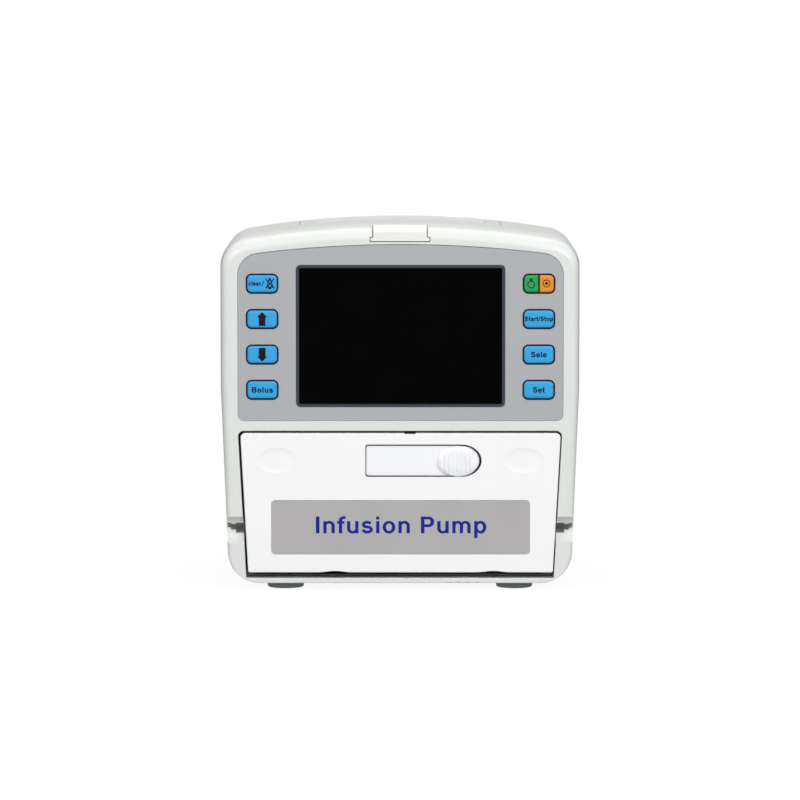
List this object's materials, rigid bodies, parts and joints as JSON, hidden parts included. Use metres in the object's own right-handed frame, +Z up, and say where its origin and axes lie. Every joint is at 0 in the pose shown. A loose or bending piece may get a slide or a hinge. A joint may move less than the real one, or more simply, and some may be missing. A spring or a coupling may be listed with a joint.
{
  "type": "infusion pump",
  "caption": "Single-channel ward infusion pump: arched housing, display with side keys, bottom-hinged pump door with slide latch, peristaltic finger drive, carry handle and pole clamp.",
  "frame": {"origin": "middle of the whole object's footprint, in the plane of the feet", "axes": "+Z up, -Y is the front with the display and door, +X to the right seen from the front"},
  "size_m": [0.2, 0.153, 0.2049],
  "materials": {
    "housing_plastic": "fine-grained moulded ABS, off-white",
    "door_plastic": "smooth satin white",
    "overlay_film": "printed polyester film, grey, matt",
    "display_glass": "black gloss window",
    "key_blue": "satin blue",
    "key_green": "satin green",
    "key_orange": "satin orange",
    "lamp_lens": "milky translucent polycarbonate",
    "label_film": "printed label, warm grey",
    "foot_rubber": "soft matt rubber",
    "chassis_plastic": "dark grey-green glass-filled nylon",
    "black_plastic": "black moulded plastic",
    "aluminium": "cast and machined, satin",
    "steel": "ground steel",
    "circuit_board": "green solder mask",
    "acetal": "machined white acetal",
    "battery_wrap": "blue shrink wrap"
  },
  "bodies": {
    "housing": {"front_casing": "housing_plastic", "rear_casing": "housing_plastic", "battery_cover": "housing_plastic", "keypad_overlay": "overlay_film", "display_window": "display_glass", "lcd_module": "display_glass", "alarm_lamp_lens": "lamp_lens", "foot_front_left": "foot_rubber", "foot_front_right": "foot_rubber", "foot_rear_left": "foot_rubber", "foot_rear_right": "foot_rubber", "drive_belt": "foot_rubber", "pump_chassis": "chassis_plastic", "speaker": "black_plastic", "mains_inlet": "black_plastic", "data_port": "black_plastic", "air_sensor": "black_plastic", "clamp_bracket": "aluminium", "drive_motor": "aluminium", "motor_bracket": "aluminium", "hinge_pin_left": "steel", "hinge_pin_right": "steel", "cam_bearing_left": "steel", "cam_bearing_right": "steel", "pressure_sensor": "steel", "casing_screw_1": "steel", "casing_screw_2": "steel", "casing_screw_3": "steel", "casing_screw_4": "steel", "main_board": "circuit_board", "key_board": "circuit_board", "battery_pack": "battery_wrap"},
    "door": {"door_shell": "door_plastic", "door_inner_plate": "aluminium", "name_plate": "label_film", "platen_spring": "steel"},
    "latch": {"latch_slider": "door_plastic"},
    "platen": {"pressure_platen": "aluminium"},
    "cams": {"camshaft": "steel", "cam_pulley": "aluminium"},
    "motor_rotor": {"motor_pulley": "steel"},
    "handle": {"carry_handle": "housing_plastic"},
    "jaw": {"clamp_jaw": "foot_rubber"},
    "screw": {"clamp_screw": "steel", "clamp_knob": "black_plastic"},
    "key_clear_mute_pad": {"key_clear_mute": "key_blue"},
    "key_up_pad": {"key_up": "key_blue"},
    "key_down_pad": {"key_down": "key_blue"},
    "key_bolus_pad": {"key_bolus": "key_blue"},
    "key_power_on_pad": {"key_power_on": "key_green"},
    "key_power_off_pad": {"key_power_off": "key_orange"},
    "key_start_stop_pad": {"key_start_stop": "key_blue"},
    "key_select_pad": {"key_select": "key_blue"},
    "key_set_pad": {"key_set": "key_blue"},
    "finger_1": {"pump_finger_1": "acetal"},
    "finger_2": {"pump_finger_2": "acetal"},
    "finger_3": {"pump_finger_3": "acetal"},
    "finger_4": {"pump_finger_4": "acetal"},
    "finger_5": {"pump_finger_5": "acetal"},
    "finger_6": {"pump_finger_6": "acetal"}
  },
  "joints": [
    {"name": "door_hinge", "type": "hinge", "parent": "housing", "child": "door", "pos_m": [0, -0.0685, 0.0148], "axis": [1, 0, 0], "range_deg": [0, 90]},
    {"name": "latch_slide", "type": "slide", "parent": "door", "child": "latch", "axis": [-1, 0, 0], "range_m": [0, 0.012]},
    {"name": "platen_slide", "type": "slide", "parent": "door", "child": "platen", "axis": [0, -1, 0], "range_m": [0, 0.001], "stiffness_N_per_m": 400, "springref_m": -0.0005},
    {"name": "camshaft_spin", "type": "hinge", "parent": "housing", "child": "cams", "pos_m": [0, -0.0375, 0.0345], "axis": [1, 0, 0], "continuous": true},
    {"name": "motor_spin", "type": "hinge", "parent": "housing", "child": "motor_rotor", "pos_m": [0.035, 0.0005, 0.04], "axis": [1, 0, 0], "continuous": true},
    {"name": "handle_fold", "type": "hinge", "parent": "housing", "child": "handle", "pos_m": [0, 0.0235, 0.1976], "axis": [-1, 0, 0], "range_deg": [0, 90]},
    {"name": "clamp_jaw_slide", "type": "slide", "parent": "housing", "child": "jaw", "axis": [-1, 0, 0], "range_m": [0, 0.024]},
    {"name": "clamp_screw_spin", "type": "hinge", "parent": "jaw", "child": "screw", "pos_m": [0.06, 0.0585, 0.086], "axis": [-1, 0, 0], "range_deg": [0, 2881]},
    {"name": "key_clear_mute_press", "type": "slide", "parent": "housing", "child": "key_clear_mute_pad", "axis": [0, 1, 0], "range_m": [0, 0.0006], "stiffness_N_per_m": 400},
    {"name": "key_up_press", "type": "slide", "parent": "housing", "child": "key_up_pad", "axis": [0, 1, 0], "range_m": [0, 0.0006], "stiffness_N_per_m": 400},
    {"name": "key_down_press", "type": "slide", "parent": "housing", "child": "key_down_pad", "axis": [0, 1, 0], "range_m": [0, 0.0006], "stiffness_N_per_m": 400},
    {"name": "key_bolus_press", "type": "slide", "parent": "housing", "child": "key_bolus_pad", "axis": [0, 1, 0], "range_m": [0, 0.0006], "stiffness_N_per_m": 400},
    {"name": "key_power_on_press", "type": "slide", "parent": "housing", "child": "key_power_on_pad", "axis": [0, 1, 0], "range_m": [0, 0.0006], "stiffness_N_per_m": 400},
    {"name": "key_power_off_press", "type": "slide", "parent": "housing", "child": "key_power_off_pad", "axis": [0, 1, 0], "range_m": [0, 0.0006], "stiffness_N_per_m": 400},
    {"name": "key_start_stop_press", "type": "slide", "parent": "housing", "child": "key_start_stop_pad", "axis": [0, 1, 0], "range_m": [0, 0.0006], "stiffness_N_per_m": 400},
    {"name": "key_select_press", "type": "slide", "parent": "housing", "child": "key_select_pad", "axis": [0, 1, 0], "range_m": [0, 0.0006], "stiffness_N_per_m": 400},
    {"name": "key_set_press", "type": "slide", "parent": "housing", "child": "key_set_pad", "axis": [0, 1, 0], "range_m": [0, 0.0006], "stiffness_N_per_m": 400},
    {"name": "finger_1_slide", "type": "slide", "parent": "housing", "child": "finger_1", "axis": [0, -1, 0], "range_m": [-0.0018, 0]},
    {"name": "finger_2_slide", "type": "slide", "parent": "housing", "child": "finger_2", "axis": [0, -1, 0], "range_m": [-0.00135, 0.00045]},
    {"name": "finger_3_slide", "type": "slide", "parent": "housing", "child": "finger_3", "axis": [0, -1, 0], "range_m": [-0.00045, 0.00135]},
    {"name": "finger_4_slide", "type": "slide", "parent": "housing", "child": "finger_4", "axis": [0, -1, 0], "range_m": [0, 0.0018]},
    {"name": "finger_5_slide", "type": "slide", "parent": "housing", "child": "finger_5", "axis": [0, -1, 0], "range_m": [-0.00045, 0.00135]},
    {"name": "finger_6_slide", "type": "slide", "parent": "housing", "child": "finger_6", "axis": [0, -1, 0], "range_m": [-0.00135, 0.00045]}
  ],
  "couplings": [
    {"joint": "motor_spin", "follows": "camshaft_spin", "ratio": 2},
    {"joint": "clamp_screw_spin", "follows": "clamp_jaw_slide", "rad_per_m": 2094.4}
  ]
}
